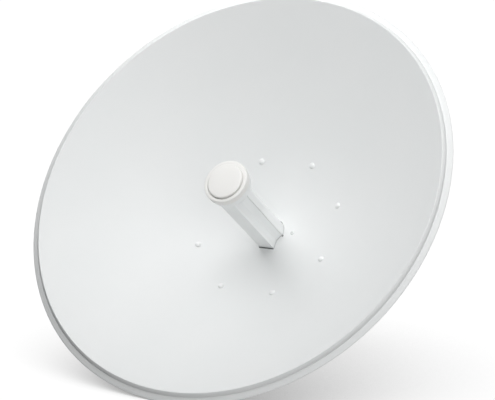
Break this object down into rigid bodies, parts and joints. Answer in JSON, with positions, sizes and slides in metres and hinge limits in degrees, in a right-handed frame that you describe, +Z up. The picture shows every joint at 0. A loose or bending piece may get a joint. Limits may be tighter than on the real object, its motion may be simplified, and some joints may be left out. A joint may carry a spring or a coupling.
{
  "type": "wireless dish antenna",
  "caption": "Parabolic dish antenna: pressed white reflector, plastic feed on its axis, back plate, radio housing, elevation yoke and pole clamp.",
  "frame": {"origin": "middle of the flat back face of the pole bracket's web", "axes": "+Y out of that face towards the pole, +Z up the pole, +X to the right of someone who looks into the dish; the boresight points towards -Y, 35.2 degrees above level"},
  "size_m": [0.6494, 0.5469, 0.5309],
  "materials": {
    "painted_steel": "satin light grey-white powder coat",
    "white_plastic": "fine satin moulded plastic, warm white",
    "zinc_steel": "satin zinc-plated steel"
  },
  "bodies": {
    "root": {"reflector": "painted_steel", "dish_rivet_1": "painted_steel", "dish_rivet_2": "painted_steel", "dish_rivet_3": "painted_steel", "dish_rivet_4": "painted_steel", "dish_rivet_5": "painted_steel", "dish_rivet_6": "painted_steel", "dish_rivet_7": "painted_steel", "dish_rivet_8": "painted_steel", "dish_screw": "zinc_steel", "feed_lower_shell": "white_plastic", "feed_upper_shell": "white_plastic", "feed_status_strip": "white_plastic", "feed_neck": "white_plastic", "feed_cap_ring": "white_plastic", "feed_cap_disc": "white_plastic", "feed_socket": "white_plastic", "back_plate": "painted_steel", "radio_housing": "white_plastic", "port_cover": "white_plastic", "yoke_left": "zinc_steel", "yoke_right": "zinc_steel", "yoke_screw_1": "zinc_steel", "yoke_screw_2": "zinc_steel", "yoke_screw_3": "zinc_steel", "yoke_screw_4": "zinc_steel", "pole_bracket": "zinc_steel", "pole_clamp": "zinc_steel", "pivot_bolt_left": "zinc_steel", "pivot_bolt_right": "zinc_steel", "pivot_nut_left": "zinc_steel", "pivot_nut_right": "zinc_steel", "lock_bolt_left": "zinc_steel", "lock_bolt_right": "zinc_steel", "lock_nut_left": "zinc_steel", "lock_nut_right": "zinc_steel", "clamp_bolt_1": "zinc_steel", "clamp_bolt_2": "zinc_steel", "clamp_bolt_3": "zinc_steel", "clamp_bolt_4": "zinc_steel", "clamp_nut_1": "zinc_steel", "clamp_nut_2": "zinc_steel", "clamp_nut_3": "zinc_steel", "clamp_nut_4": "zinc_steel"}
  },
  "joints": []
}
